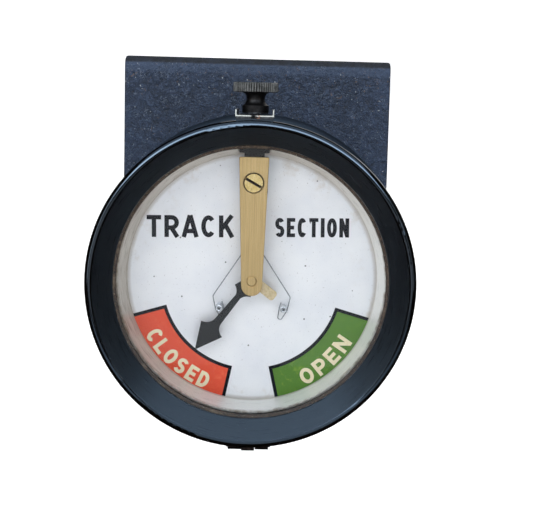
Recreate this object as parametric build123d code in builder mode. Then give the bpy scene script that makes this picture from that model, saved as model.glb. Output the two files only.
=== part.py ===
"""Two-position electromagnetic lever indicator: round glazed head on a sheet-steel case.

Frame: millimetres, +Z up, the dial faces -Y. The origin is the centre of the four
fixing studs on the back face of the case. "Forward" distances are measured from the
back face towards the viewer, along -Y.
"""

import math
import os

from build123d import *

os.makedirs("parts", exist_ok=True)

# ---------------------------------------------------------------- driving dimensions
DIAL_Z = -30.0  # height of the dial axis below the fixing centre
BEZEL_R = 76.2  # a six-inch bezel
CASE_W, CASE_H = 134.0, 150.0
CASE_FRONT = 42.0  # forward distance of the front panel's outer face
BACK_T = 2.0  # back plate
SHEET = 1.6  # case sheet
TOP_BEND = 5.0  # outer bend radius along the top of the front panel
CORNER_R = 1.3

DRUM_R, DRUM_WALL = 74.2, 1.2
DRUM_RIM = 100.0  # forward distance of the drum's front rim
FOOT_R = 77.6  # the drum's back disc, which stands proud as a foot flange
PASSAGE_R = 41.5  # opening between the drum and the case
SKIRT_REAR = 96.0  # the bezel skirt laps over the drum rim
SKIRT_GAP = 0.8
OPENING_R = 64.3

STUD_X, STUD_Z, STUD_R, STUD_LEN = 100.0, 110.0, 2.5, 16.0
STUD_SHOULDER_R = 3.0  # the part of each stud inside the back plate
PLATE_REAR, PLATE_T, PLATE_R = 56.0, 2.0, 70.0  # movement plate
DIAL_FACE, DIAL_T, DIAL_R = 81.0, 1.2, 71.0
DIAL_REAR = DIAL_FACE - DIAL_T
PILLAR_X, PILLAR_Z = 28.0, 23.0  # case pillars, from the dial axis
DIAL_PILLAR_ORBIT = 65.0

SPINDLE_R, RUN_GAP = 1.25, 0.05
POST_ORBIT, POST_R, POST_ANGLE = 20.7, 1.6, 47.7  # stop posts, angle from straight down
POINTER_HALF, STOP_GAP = 1.88, 0.15
POINTER_REST = POST_ANGLE - math.degrees(
    math.asin((POINTER_HALF + POST_R + STOP_GAP) / POST_ORBIT)
)
BRIDGE_REAR, BRIDGE_T = 88.7, 2.0
BRIDGE_TOP, BRIDGE_SCREW_Z = 58.5, 46.4
WIRE_R, WIRE_FWD = 0.25, 83.4

HINGE_FWD, HINGE_Z = 94.0, -78.2  # bezel hinge axis, below the dial axis
KNUCKLE_R, HINGE_PIN_R = 2.0, 0.9
SCREW_FWD, SCREW_R = 89.5, 2.45  # thumbscrew axis and shank
HASP_Z, HASP_T, HASP_HALF = 76.7, 1.4, 8.75


# ---------------------------------------------------------------- frames and helpers
def facing(forward, height=0.0):
    """Plane across the dial axis: local x is +X, local y is +Z, normal is forward."""
    return Plane(origin=(0, -forward, DIAL_Z + height), x_dir=(1, 0, 0), z_dir=(0, -1, 0))


def level(height):
    """Level plane above the dial axis: local x is +X, local y is forward."""
    return Plane(origin=(0, 0, DIAL_Z + height), x_dir=(1, 0, 0), z_dir=(0, 0, -1))


PROFILE = level(0)  # turned profiles: local x is radius, local y is forward
DIAL_AXIS = Axis((0, 0, DIAL_Z), (0, -1, 0))
CENTRE = facing(0)


def polar(radius, degrees_from_down):
    """Point on the dial, the angle counted from straight down, positive to the right."""
    angle = math.radians(degrees_from_down)
    return (radius * math.sin(angle), -radius * math.cos(angle))


def save(part, name):
    part.label = name
    export_step(part, f"parts/{name}.step")


# ---------------------------------------------------------------- case
DRUM_RIVET_R, DRUM_RIVET_ORBIT = 1.6, 50.0
drum_rivet_spots = [polar(DRUM_RIVET_ORBIT, a) for a in (-120, -60, 60, 120, 180)]

with BuildPart() as case_shell:
    with Locations((0, -(BACK_T + CASE_FRONT) / 2, 0)):
        Box(CASE_W, CASE_FRONT - BACK_T, CASE_H)
    top_front = case_shell.edges().filter_by(Axis.X).group_by(Axis.Z)[-1].sort_by(Axis.Y)[0]
    fillet(top_front, radius=TOP_BEND)
    fore_aft = case_shell.edges().filter_by(Axis.Y)
    fillet(fore_aft, radius=CORNER_R)
    rear = case_shell.faces().sort_by(Axis.Y)[-1]
    offset(amount=-SHEET, openings=rear)
    with BuildSketch(facing(CASE_FRONT)):
        Circle(PASSAGE_R)
        with Locations(*drum_rivet_spots):
            Circle(DRUM_RIVET_R + RUN_GAP)
    extrude(amount=-2 * SHEET, mode=Mode.SUBTRACT)
save(case_shell.part, "case_shell")

BLOCK = 10.0
block_x = CASE_W / 2 - SHEET - BLOCK / 2 - 0.4
block_z = CASE_H / 2 - SHEET - BLOCK / 2 - 0.4
BUSH_X, BUSH_Z = 0.0, 28.0
corner_spots = [(sx * block_x, sz * block_z) for sx in (-1, 1) for sz in (-1, 1)]
pillar_spots = [(sx * PILLAR_X, sz * PILLAR_Z + DIAL_Z) for sx in (-1, 1) for sz in (-1, 1)]
stud_spots = [(sx * STUD_X / 2, sz * STUD_Z / 2) for sx in (-1, 1) for sz in (-1, 1)]
back_face = Plane(origin=(0, 0, 0), x_dir=(1, 0, 0), z_dir=(0, -1, 0))
inside_face = Plane(origin=(0, -BACK_T, 0), x_dir=(1, 0, 0), z_dir=(0, -1, 0))
BACK_SCREW_R, BACK_HEAD_R = 1.5, 2.9

with BuildPart() as back_plate:
    with BuildSketch(back_face):
        RectangleRounded(CASE_W, CASE_H, CORNER_R)
    extrude(amount=BACK_T)
    with BuildSketch(back_face):
        with Locations(*corner_spots, *pillar_spots):
            Circle(BACK_SCREW_R + RUN_GAP)
        with Locations(*stud_spots):
            Circle(STUD_SHOULDER_R + RUN_GAP)
        with Locations((BUSH_X, BUSH_Z)):
            Circle(7.05)
    extrude(amount=BACK_T, mode=Mode.SUBTRACT)
    for spot in corner_spots + pillar_spots:
        with BuildSketch(back_face):
            with Locations(spot):
                Circle(BACK_HEAD_R + RUN_GAP)
        extrude(amount=1.4, taper=45, mode=Mode.SUBTRACT)
save(back_plate.part, "back_plate")

with BuildPart() as corner_blocks:
    with BuildSketch(inside_face):
        with Locations(*corner_spots):
            Rectangle(BLOCK, BLOCK)
    extrude(amount=12)
    with BuildSketch(inside_face):
        with Locations(*corner_spots):
            Circle(BACK_SCREW_R + RUN_GAP)
    extrude(amount=9, mode=Mode.SUBTRACT)
    chamfer(corner_blocks.faces().sort_by(Axis.Y)[:4].edges().filter_by(GeomType.LINE), 1.0)
save(corner_blocks.part, "corner_blocks")

with BuildPart() as back_screws:
    with BuildSketch(back_face):
        with Locations(*corner_spots, *pillar_spots):
            Circle(BACK_SCREW_R)
    extrude(amount=10)
    for spot in corner_spots + pillar_spots:
        with BuildSketch(back_face):
            with Locations(spot):
                Circle(BACK_HEAD_R)
        extrude(amount=1.35, taper=45)
    with BuildSketch(back_face):
        with Locations(*corner_spots, *pillar_spots):
            Rectangle(7, 0.8)
    extrude(amount=0.6, mode=Mode.SUBTRACT)
save(back_screws.part, "back_screws")

with BuildPart() as fixing_studs:
    with BuildSketch(inside_face):
        with Locations(*stud_spots):
            Circle(4.5)
    extrude(amount=2.5)
    with BuildSketch(inside_face):
        with Locations(*stud_spots):
            Circle(STUD_SHOULDER_R)
    extrude(amount=-BACK_T)
    with BuildSketch(back_face):
        with Locations(*stud_spots):
            Circle(STUD_R)
    extrude(amount=-STUD_LEN)
    tips = fixing_studs.faces().sort_by(Axis.Y)[-4:].edges()
    chamfer(tips, 0.6)
save(fixing_studs.part, "fixing_studs")

with BuildPart() as cable_bush:
    with BuildSketch(back_face):
        with Locations((BUSH_X, BUSH_Z)):
            Circle(7)
    extrude(amount=6)
    with BuildSketch(inside_face):
        with Locations((BUSH_X, BUSH_Z)):
            Circle(9.5)
    extrude(amount=2)
    with BuildSketch(back_face):
        with Locations((BUSH_X, BUSH_Z)):
            Circle(5)
    extrude(amount=6, mode=Mode.SUBTRACT)
save(cable_bush.part, "cable_bush")

# ---------------------------------------------------------------- drum
with BuildPart() as drum:
    with BuildSketch(PROFILE):
        with BuildLine():
            inner = DRUM_R - DRUM_WALL
            back = CASE_FRONT + DRUM_WALL
            Polyline((inner, DRUM_RIM), (inner, back), (PASSAGE_R, back), (PASSAGE_R, CASE_FRONT))
            Polyline((PASSAGE_R, CASE_FRONT), (FOOT_R, CASE_FRONT), (FOOT_R, 43.0))
            RadiusArc((FOOT_R, 43.0), (DRUM_R, 47.0), -5.0)
            Line((DRUM_R, 47.0), (DRUM_R, DRUM_RIM - 0.5))
            Line((DRUM_R, DRUM_RIM - 0.5), (DRUM_R - 0.5, DRUM_RIM))
            Line((DRUM_R - 0.5, DRUM_RIM), (inner, DRUM_RIM))
        make_face()
    revolve(axis=DIAL_AXIS)
    with BuildSketch(level(DRUM_R + 2)):
        with Locations((0, SCREW_FWD)):
            Circle(3.45)
    extrude(amount=6, mode=Mode.SUBTRACT)
    with BuildSketch(facing(CASE_FRONT)):
        with Locations(*drum_rivet_spots):
            Circle(DRUM_RIVET_R + RUN_GAP)
    extrude(amount=DRUM_WALL, mode=Mode.SUBTRACT)
save(drum.part, "drum")

with BuildPart() as drum_rivets:
    with BuildSketch(facing(CASE_FRONT - SHEET)):
        with Locations(*drum_rivet_spots):
            Circle(DRUM_RIVET_R)
    extrude(amount=SHEET + DRUM_WALL)
    with BuildSketch(facing(CASE_FRONT + DRUM_WALL)):
        with Locations(*drum_rivet_spots):
            Circle(3)
    extrude(amount=1.2, taper=30)
    with BuildSketch(facing(CASE_FRONT - SHEET)):
        with Locations(*drum_rivet_spots):
            Circle(2.6)
    extrude(amount=-1.0, taper=30)
save(drum_rivets.part, "drum_rivets")

BOSS_TOP, BOSS_FOOT = 76.4, 70.8
with BuildPart() as thumbscrew_boss:
    with BuildSketch(level(BOSS_TOP)):
        with Locations((0, SCREW_FWD)):
            RectangleRounded(13, 11, 2)
    extrude(amount=BOSS_TOP - 73.4)
    with BuildSketch(CENTRE):
        Circle(DRUM_R)
    extrude(amount=120, mode=Mode.SUBTRACT)
    with BuildSketch(level(BOSS_TOP)):
        with Locations((0, SCREW_FWD)):
            Circle(3.4)
    extrude(amount=BOSS_TOP - BOSS_FOOT)
    with BuildSketch(level(72.5)):
        with Locations((0, SCREW_FWD)):
            RectangleRounded(10, 8, 1)
    extrude(amount=72.5 - BOSS_FOOT)
    with BuildSketch(level(BOSS_TOP)):
        with Locations((0, SCREW_FWD)):
            Circle(SCREW_R + RUN_GAP)
    extrude(amount=BOSS_TOP - BOSS_FOOT, mode=Mode.SUBTRACT)
save(thumbscrew_boss.part, "thumbscrew_boss")

# ---------------------------------------------------------------- bezel
GLASS_SEAT_R, SEAT_REAR, WEB_REAR = 67.9, 91.0, DRUM_RIM + 0.6
# the bezel's section, as (radius, forward): a rounded nose, then a cone down to the glass
NOSE_START, NOSE_TOP, CONE_TOP, CONE_FOOT = 103.4, (73.3, 106.2), (72.6, 105.6), (64.8, 97.5)
with BuildPart() as bezel_ring:
    with BuildSketch(PROFILE):
        with BuildLine():
            skirt_in = DRUM_R + SKIRT_GAP
            Line((skirt_in, SKIRT_REAR), (BEZEL_R - 0.4, SKIRT_REAR))
            Line((BEZEL_R - 0.4, SKIRT_REAR), (BEZEL_R, SKIRT_REAR + 0.4))
            Line((BEZEL_R, SKIRT_REAR + 0.4), (BEZEL_R, NOSE_START))
            RadiusArc((BEZEL_R, NOSE_START), NOSE_TOP, -2.9)
            Line(NOSE_TOP, CONE_TOP)
            Line(CONE_TOP, CONE_FOOT)
            RadiusArc(CONE_FOOT, (OPENING_R, 96.6), -1.2)
            Polyline(
                (OPENING_R, 96.6),
                (OPENING_R, 95.4),
                (GLASS_SEAT_R, 95.4),
                (GLASS_SEAT_R, SEAT_REAR),
                (70.0, SEAT_REAR),
                (70.0, WEB_REAR),
                (skirt_in, WEB_REAR),
                (skirt_in, SKIRT_REAR),
            )
        make_face()
    revolve(axis=DIAL_AXIS)
    with BuildSketch(level(HASP_Z)):
        with Locations((0, 100.3)):
            Rectangle(2 * HASP_HALF - 0.5, 6.6)
    extrude(amount=HASP_Z - 75.3)
    with BuildSketch(level(HASP_Z)):
        with Locations((-4.5, 101), (4.5, 101)):
            Circle(1.2)
    extrude(amount=0.9, mode=Mode.SUBTRACT)
save(bezel_ring.part, "bezel_ring")

with BuildPart() as glass:
    with BuildSketch(facing(92.9)):
        Circle(67.6)
    extrude(amount=2.4)
    chamfer(glass.edges(), 0.3)
save(glass.part, "glass")

PUTTY_R = 62.8
with BuildPart() as glass_putty:
    with BuildSketch(PROFILE):
        with BuildLine():
            Line((OPENING_R - 0.1, 95.35), (PUTTY_R, 95.35))
            RadiusArc((PUTTY_R, 95.35), (OPENING_R - 0.1, 96.6), 2.2)
            Line((OPENING_R - 0.1, 96.6), (OPENING_R - 0.1, 95.35))
        make_face()
    revolve(axis=DIAL_AXIS)
save(glass_putty.part, "glass_putty")

with BuildPart() as glass_clip_ring:
    with BuildSketch(PROFILE):
        with Locations((65.8, 92.05)):
            RectangleRounded(3.8, 1.5, 0.5)
    revolve(axis=DIAL_AXIS)
    with Locations((0, -92, DIAL_Z + 66)):
        Box(4, 4, 8, mode=Mode.SUBTRACT)  # the split in the ring
save(glass_clip_ring.part, "glass_clip_ring")

HASP_REAR, HASP_FRONT, FLANGE_H, FLANGE_T = 86.0, 104.0, 2.6, 0.9
with BuildPart() as bezel_hasp:
    with BuildSketch(facing(HASP_REAR, HASP_Z)):
        with BuildLine():
            out, thick, top = HASP_HALF, FLANGE_T, HASP_T + FLANGE_H
            Polyline(
                (-out, 0),
                (out, 0),
                (out, top),
                (out - thick, top),
                (out - thick, HASP_T),
                (thick - out, HASP_T),
                (thick - out, top),
                (-out, top),
                (-out, 0),
            )
        make_face()
    extrude(amount=HASP_FRONT - HASP_REAR)
    fillet(bezel_hasp.edges().filter_by(Axis.Y).group_by(Axis.Z)[0], 0.7)
    with BuildSketch(level(HASP_Z + HASP_T)):
        with Locations((0, SCREW_FWD)):
            Circle(2.7)
        with Locations((0, (SCREW_FWD + HASP_REAR - 1) / 2)):
            Rectangle(5.4, SCREW_FWD - HASP_REAR + 1)
        with Locations((-4.5, 101), (4.5, 101)):
            Circle(1.2)
        with BuildLine():
            Polyline((-1.8, HASP_FRONT), (0.9, HASP_FRONT), (-0.6, 102.5), (-1.8, HASP_FRONT))
        make_face()
    extrude(amount=HASP_T, mode=Mode.SUBTRACT)
save(bezel_hasp.part, "bezel_hasp")

with BuildPart() as hasp_rivets:
    with BuildSketch(level(HASP_Z + HASP_T)):
        with Locations((-4.5, 101), (4.5, 101)):
            Circle(1.15)
    extrude(amount=HASP_T + 0.85)
save(hasp_rivets.part, "hasp_rivets")

# ---------------------------------------------------------------- bezel hinge
HINGE_HALF, MOVING_HALF, SIDE_GAP = 9.6, 3.0, 0.25
hinge_side = Plane(
    origin=(0, -HINGE_FWD, DIAL_Z + HINGE_Z), x_dir=(0, -1, 0), z_dir=(-1, 0, 0)
)  # local x is forward, local y is up, from the hinge axis

with BuildPart() as hinge_leaf_fixed:
    with BuildSketch(hinge_side):
        Circle(KNUCKLE_R)
        with BuildLine():
            Polyline((0, -KNUCKLE_R), (-13, 0.6), (-13, 4.6), (-1.2, 4.6), (0, KNUCKLE_R), (0, -KNUCKLE_R))
        make_face()
    extrude(amount=HINGE_HALF, both=True)
    with BuildSketch(CENTRE):
        Circle(DRUM_R)
    extrude(amount=120, mode=Mode.SUBTRACT)
    with BuildSketch(hinge_side):
        Circle(KNUCKLE_R + 0.4)
        with Locations((2, 0)):
            Rectangle(4, 2 * KNUCKLE_R + 2)
    extrude(amount=MOVING_HALF + SIDE_GAP, both=True, mode=Mode.SUBTRACT)
    with BuildSketch(hinge_side):
        Circle(HINGE_PIN_R + RUN_GAP)
    extrude(amount=HINGE_HALF, both=True, mode=Mode.SUBTRACT)
save(hinge_leaf_fixed.part, "hinge_leaf_fixed")

with BuildPart() as hinge_leaf_moving:
    with BuildSketch(hinge_side):
        Circle(KNUCKLE_R)
        with BuildLine():
            Polyline((0, -KNUCKLE_R), (9.5, 0.4), (9.5, 3.2), (0.6, 3.2), (0, KNUCKLE_R), (0, -KNUCKLE_R))
        make_face()
    extrude(amount=MOVING_HALF, both=True)
    with BuildSketch(CENTRE):
        Circle(BEZEL_R)
    extrude(amount=120, mode=Mode.SUBTRACT)
    with BuildSketch(hinge_side):
        Circle(HINGE_PIN_R + RUN_GAP)
    extrude(amount=MOVING_HALF, both=True, mode=Mode.SUBTRACT)
save(hinge_leaf_moving.part, "hinge_leaf_moving")

with BuildPart() as hinge_pin:
    with BuildSketch(hinge_side):
        Circle(HINGE_PIN_R)
    extrude(amount=HINGE_HALF + 0.8, both=True)
save(hinge_pin.part, "hinge_pin")

# ---------------------------------------------------------------- thumbscrew
COLLAR_Z, COLLAR_R = 79.4, 6.2
HEAD_Z, HEAD_T, HEAD_R, KNURLS = 88.5, 4.5, 10.4, 54
screw_profile = facing(SCREW_FWD)
SCREW_AXIS = Axis((0, -SCREW_FWD, DIAL_Z), (0, 0, 1))
with BuildPart() as thumbscrew:
    with BuildSketch(Plane.XY.offset(DIAL_Z + HEAD_Z)):
        with Locations((0, -SCREW_FWD)):
            Circle(HEAD_R)
            with PolarLocations(HEAD_R + 0.12, KNURLS):
                Rectangle(0.75, 0.75, rotation=45, mode=Mode.SUBTRACT)
    extrude(amount=HEAD_T)
    with BuildSketch(screw_profile):
        with BuildLine():
            Polyline((0, 71.0), (SCREW_R - 0.5, 71.0), (SCREW_R, 71.5), (SCREW_R, COLLAR_Z))
            Polyline((SCREW_R, COLLAR_Z), (COLLAR_R, COLLAR_Z), (COLLAR_R, 82.4))
            ThreePointArc((COLLAR_R, 82.4), (4.25, 85.9), (6.3, HEAD_Z))
            Polyline((6.3, HEAD_Z), (6.3, HEAD_Z + 1), (0, HEAD_Z + 1), (0, 71.0))
        make_face()
    revolve(axis=SCREW_AXIS)
    with BuildSketch(screw_profile):
        with BuildLine():
            rim = HEAD_R - 0.5
            Polyline((rim, HEAD_Z), (rim + 2, HEAD_Z), (rim + 2, HEAD_Z + 1.5), (rim, HEAD_Z))
        make_face()
        with BuildLine():
            crown = HEAD_Z + HEAD_T
            Polyline((rim, crown), (rim + 2, crown), (rim + 2, crown - 1.5), (rim, crown))
        make_face()
    revolve(axis=SCREW_AXIS, mode=Mode.SUBTRACT)
save(thumbscrew.part, "thumbscrew")

with BuildPart() as thumbscrew_washer:
    with BuildSketch(Plane.XY.offset(DIAL_Z + COLLAR_Z - 0.8)):
        with Locations((0, -SCREW_FWD)):
            Circle(6.0)
            Circle(SCREW_R + RUN_GAP, mode=Mode.SUBTRACT)
    extrude(amount=0.75)
save(thumbscrew_washer.part, "thumbscrew_washer")

# ---------------------------------------------------------------- movement frame
with BuildPart() as case_pillars:
    with BuildSketch(inside_face):
        with Locations(*pillar_spots):
            Circle(4)
    extrude(amount=PLATE_REAR - BACK_T)
    with BuildSketch(inside_face):
        with Locations(*pillar_spots):
            Circle(BACK_SCREW_R + RUN_GAP)
    extrude(amount=9, mode=Mode.SUBTRACT)
    with BuildSketch(Plane(origin=(0, -PLATE_REAR, 0), x_dir=(1, 0, 0), z_dir=(0, -1, 0))):
        with Locations(*pillar_spots):
            Circle(1.55)
    extrude(amount=-8, mode=Mode.SUBTRACT)
save(case_pillars.part, "case_pillars")

plate_spots = [(sx * PILLAR_X, sz * PILLAR_Z) for sx in (-1, 1) for sz in (-1, 1)]
dial_pillar_spots = [polar(DIAL_PILLAR_ORBIT, a) for a in (60, 180, 300)]
PLATE_FRONT = PLATE_REAR + PLATE_T
with BuildPart() as movement_plate:
    with BuildSketch(facing(PLATE_REAR)):
        Circle(PLATE_R)
        Circle(3.05, mode=Mode.SUBTRACT)
        with Locations(*plate_spots, *dial_pillar_spots):
            Circle(1.55, mode=Mode.SUBTRACT)
        with Locations((0, 45)):
            SlotOverall(34, 14, mode=Mode.SUBTRACT)
    extrude(amount=PLATE_T)
save(movement_plate.part, "movement_plate")

with BuildPart() as movement_screws:
    with BuildSketch(facing(PLATE_FRONT)):
        with Locations(*plate_spots):
            Circle(3)
    extrude(amount=2)
    with BuildSketch(facing(PLATE_FRONT)):
        with Locations(*plate_spots):
            Circle(1.5)
    extrude(amount=-9)
    with BuildSketch(facing(PLATE_FRONT + 2)):
        with Locations(*plate_spots):
            Rectangle(7, 0.8)
    extrude(amount=-0.9, mode=Mode.SUBTRACT)
save(movement_screws.part, "movement_screws")

with BuildPart() as dial_pillars:
    with BuildSketch(facing(PLATE_FRONT)):
        with Locations(*dial_pillar_spots):
            RegularPolygon(3.4, 6)
    extrude(amount=DIAL_REAR - PLATE_FRONT)
    with BuildSketch(facing(PLATE_FRONT)):
        with Locations(*dial_pillar_spots):
            Circle(1.5)
    extrude(amount=-PLATE_T)
    with BuildSketch(facing(DIAL_REAR)):
        with Locations(*dial_pillar_spots):
            Circle(1.55)
    extrude(amount=-8, mode=Mode.SUBTRACT)
save(dial_pillars.part, "dial_pillars")

# ---------------------------------------------------------------- electromagnet
COIL_X, COIL_FWD, COIL_TOP, COIL_FOOT = 22.0, 69.0, -14.0, -50.0
for side, sign in (("left", -1), ("right", 1)):
    with BuildPart() as bobbin:
        for height in (COIL_TOP, COIL_FOOT + 1.5):
            with BuildSketch(level(height)):
                with Locations((sign * COIL_X, COIL_FWD)):
                    Circle(10)
            extrude(amount=1.5)
        with BuildSketch(level(COIL_TOP)):
            with Locations((sign * COIL_X, COIL_FWD)):
                Circle(5.2)
        extrude(amount=COIL_TOP - COIL_FOOT)
        with BuildSketch(level(COIL_TOP)):
            with Locations((sign * COIL_X, COIL_FWD)):
                Circle(4.3)
        extrude(amount=COIL_TOP - COIL_FOOT, mode=Mode.SUBTRACT)
    save(bobbin.part, f"bobbin_{side}")

    with BuildPart() as winding:
        with BuildSketch(level(COIL_TOP - 1.6)):
            with Locations((sign * COIL_X, COIL_FWD)):
                Circle(9)
                Circle(5.3, mode=Mode.SUBTRACT)
        extrude(amount=COIL_TOP - COIL_FOOT - 3.2)
        fillet(winding.edges().filter_by(GeomType.CIRCLE).sort_by(SortBy.RADIUS)[-2:], 0.8)
    save(winding.part, f"winding_{side}")

    with BuildPart() as pole_shoe:
        with BuildSketch(facing(64)):
            with Locations((sign * 18.5, 0)):
                RectangleRounded(20, 22, 2)
            Circle(13, mode=Mode.SUBTRACT)
        extrude(amount=10)
    save(pole_shoe.part, f"pole_shoe_{side}")

with BuildPart() as coil_cores:
    with BuildSketch(level(-11)):
        with Locations((-COIL_X, COIL_FWD), (COIL_X, COIL_FWD)):
            Circle(4.2)
    extrude(amount=43)
save(coil_cores.part, "coil_cores")

with BuildPart() as yoke:
    with BuildSketch(level(-54)):
        with Locations((0, COIL_FWD)):
            RectangleRounded(56, 10, 2)
    extrude(amount=6)
save(yoke.part, "yoke")

with BuildPart() as magnet_spacers:
    with BuildSketch(facing(PLATE_FRONT)):
        with Locations((-24, 6), (24, 6), (-24, -6), (24, -6)):
            Circle(2.8)
        with Locations((0, -57)):
            Rectangle(24, 5.6)
    extrude(amount=64 - PLATE_FRONT)
save(magnet_spacers.part, "magnet_spacers")

# ---------------------------------------------------------------- terminals
TERM_Z, TERM_FRONT = 54.0, 15.0
term_spots = [(-18, TERM_Z), (0, TERM_Z), (18, TERM_Z)]
term_face = Plane(origin=(0, -TERM_FRONT, 0), x_dir=(1, 0, 0), z_dir=(0, -1, 0))
with BuildPart() as terminal_block:
    with BuildSketch(inside_face):
        with Locations((0, TERM_Z)):
            RectangleRounded(62, 18, 2)
    extrude(amount=TERM_FRONT - BACK_T)
    with BuildSketch(term_face):
        with Locations(*term_spots):
            Circle(2.05)
    extrude(amount=-9, mode=Mode.SUBTRACT)
    for x in (-9, 9):
        with BuildSketch(term_face):
            with Locations((x, TERM_Z)):
                Rectangle(2, 18)
        extrude(amount=3)
save(terminal_block.part, "terminal_block")

with BuildPart() as terminal_studs:
    with BuildSketch(term_face):
        with Locations(*term_spots):
            Circle(2)
    extrude(amount=-8.5)
    with BuildSketch(term_face):
        with Locations(*term_spots):
            Circle(2)
    extrude(amount=13)
save(terminal_studs.part, "terminal_studs")

with BuildPart() as terminal_washers:
    for step in (0.0, 5.0):
        with BuildSketch(term_face.offset(step)):
            with Locations(*term_spots):
                Circle(4.2)
                Circle(2.1, mode=Mode.SUBTRACT)
        extrude(amount=0.8)
save(terminal_washers.part, "terminal_washers")

with BuildPart() as terminal_nuts:
    for step in (0.9, 5.9):
        with BuildSketch(term_face.offset(step)):
            with Locations(*term_spots):
                RegularPolygon(4.4, 6)
                Circle(2.1, mode=Mode.SUBTRACT)
        extrude(amount=3.4)
save(terminal_nuts.part, "terminal_nuts")

# ---------------------------------------------------------------- dial
post_spots = [polar(POST_ORBIT, -POST_ANGLE), polar(POST_ORBIT, POST_ANGLE)]
ANCHOR_Z = 18.6
BRACKET_HALF, BRACKET_FOOT, BRACKET_TOP = 6.5, 40.5, 57.0
bracket_screw_spots = [(-3.6, 53), (3.6, 53)]
with BuildPart() as dial_plate:
    with BuildSketch(facing(DIAL_REAR)):
        Circle(DIAL_R)
        Circle(4, mode=Mode.SUBTRACT)
        with Locations(*dial_pillar_spots):
            Circle(1.55, mode=Mode.SUBTRACT)
        with Locations(*post_spots, (0, ANCHOR_Z)):
            Circle(1.05, mode=Mode.SUBTRACT)
        with Locations(*bracket_screw_spots):
            Circle(1.3, mode=Mode.SUBTRACT)
    extrude(amount=DIAL_T)
save(dial_plate.part, "dial_plate")

WALL_FOOT_R, WALL_FRONT_R, WALL_FRONT, WALL_T = 59.5, 63.0, 90.2, 0.8
FLANGE_FWD = DIAL_FACE + 0.05
with BuildPart() as reflector_ring:
    with BuildSketch(PROFILE):
        with BuildLine():
            Polyline(
                (WALL_FOOT_R, FLANGE_FWD),
                (69.0, FLANGE_FWD),
                (69.0, FLANGE_FWD + WALL_T),
                (WALL_FOOT_R + 1.25, FLANGE_FWD + WALL_T),
                (WALL_FRONT_R + WALL_T, WALL_FRONT),
                (WALL_FRONT_R, WALL_FRONT),
                (WALL_FOOT_R, FLANGE_FWD),
            )
        make_face()
    revolve(axis=DIAL_AXIS)
    with BuildSketch(facing(DIAL_FACE)):
        with Locations(*dial_pillar_spots):
            Circle(1.55)
    extrude(amount=3, mode=Mode.SUBTRACT)
    with BuildSketch(facing(85.3)):
        with Locations((0, 62)):
            Rectangle(15.6, 14)
    extrude(amount=6, mode=Mode.SUBTRACT)
save(reflector_ring.part, "reflector_ring")

screw_seat = FLANGE_FWD + WALL_T
with BuildPart() as dial_screws:
    with BuildSketch(facing(screw_seat)):
        with Locations(*dial_pillar_spots):
            Circle(2.7)
    extrude(amount=1.5)
    with BuildSketch(facing(screw_seat)):
        with Locations(*dial_pillar_spots):
            Circle(1.5)
    extrude(amount=-9)
    with BuildSketch(facing(screw_seat + 1.5)):
        with Locations(*dial_pillar_spots):
            Rectangle(6, 0.7)
    extrude(amount=-0.8, mode=Mode.SUBTRACT)
save(dial_screws.part, "dial_screws")

with BuildPart() as stop_posts:
    with BuildSketch(facing(DIAL_FACE)):
        with Locations(*post_spots):
            Circle(POST_R)
    extrude(amount=6)
    with BuildSketch(facing(DIAL_FACE)):
        with Locations(*post_spots):
            Circle(1)
    extrude(amount=-1.8)
    with BuildSketch(facing(DIAL_FACE + 6)):
        with Locations(*post_spots):
            Circle(0.75)
    extrude(amount=-4, mode=Mode.SUBTRACT)
    fillet(stop_posts.faces().sort_by(Axis.Y)[:2].edges(), 0.25)
save(stop_posts.part, "stop_posts")

with BuildPart() as spring_anchor:
    with BuildSketch(facing(DIAL_FACE)):
        with Locations((0, ANCHOR_Z)):
            Circle(2.4)
    extrude(amount=4)
    with BuildSketch(facing(DIAL_FACE)):
        with Locations((0, ANCHOR_Z)):
            Circle(1)
    extrude(amount=-1.8)
save(spring_anchor.part, "spring_anchor")

# Each stop spring leaves the anchor, runs out to an elbow, passes its post, turns in a
# narrow hairpin below it and comes back along the other side of the post.
ELBOW = (18.5, -8.6)
HAIRPIN_DIR = (-0.32, -0.947)
for side, sign in (("left", -1), ("right", 1)):
    centre = Vector(*post_spots[0 if sign < 0 else 1])
    along = Vector(sign * HAIRPIN_DIR[0], HAIRPIN_DIR[1])
    outward = Vector(sign * -HAIRPIN_DIR[1], HAIRPIN_DIR[0])
    leg = POST_R + WIRE_R + 0.15
    route = [
        Vector(sign * 1.8, ANCHOR_Z - 1.7),
        Vector(sign * ELBOW[0], ELBOW[1]),
        centre + outward * leg + along * 0.4,
        centre + outward * 0.9 + along * 5.6,
        centre - outward * 0.9 + along * 5.6,
        centre - outward * leg - along * 0.2,
        centre - outward * leg - along * 2.2,
    ]
    with BuildPart() as stop_spring:
        with BuildLine() as run:
            stations = [facing(WIRE_FWD).from_local_coords(point) for point in route]
            FilletPolyline(*stations, radius=[1.6, 1.5, 0.85, 0.85, 1.0])
        with BuildSketch(Plane(origin=run.line @ 0, z_dir=run.line % 0)):
            Circle(WIRE_R)
        sweep(path=run.line)
    save(stop_spring.part, f"stop_spring_{side}")

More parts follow.
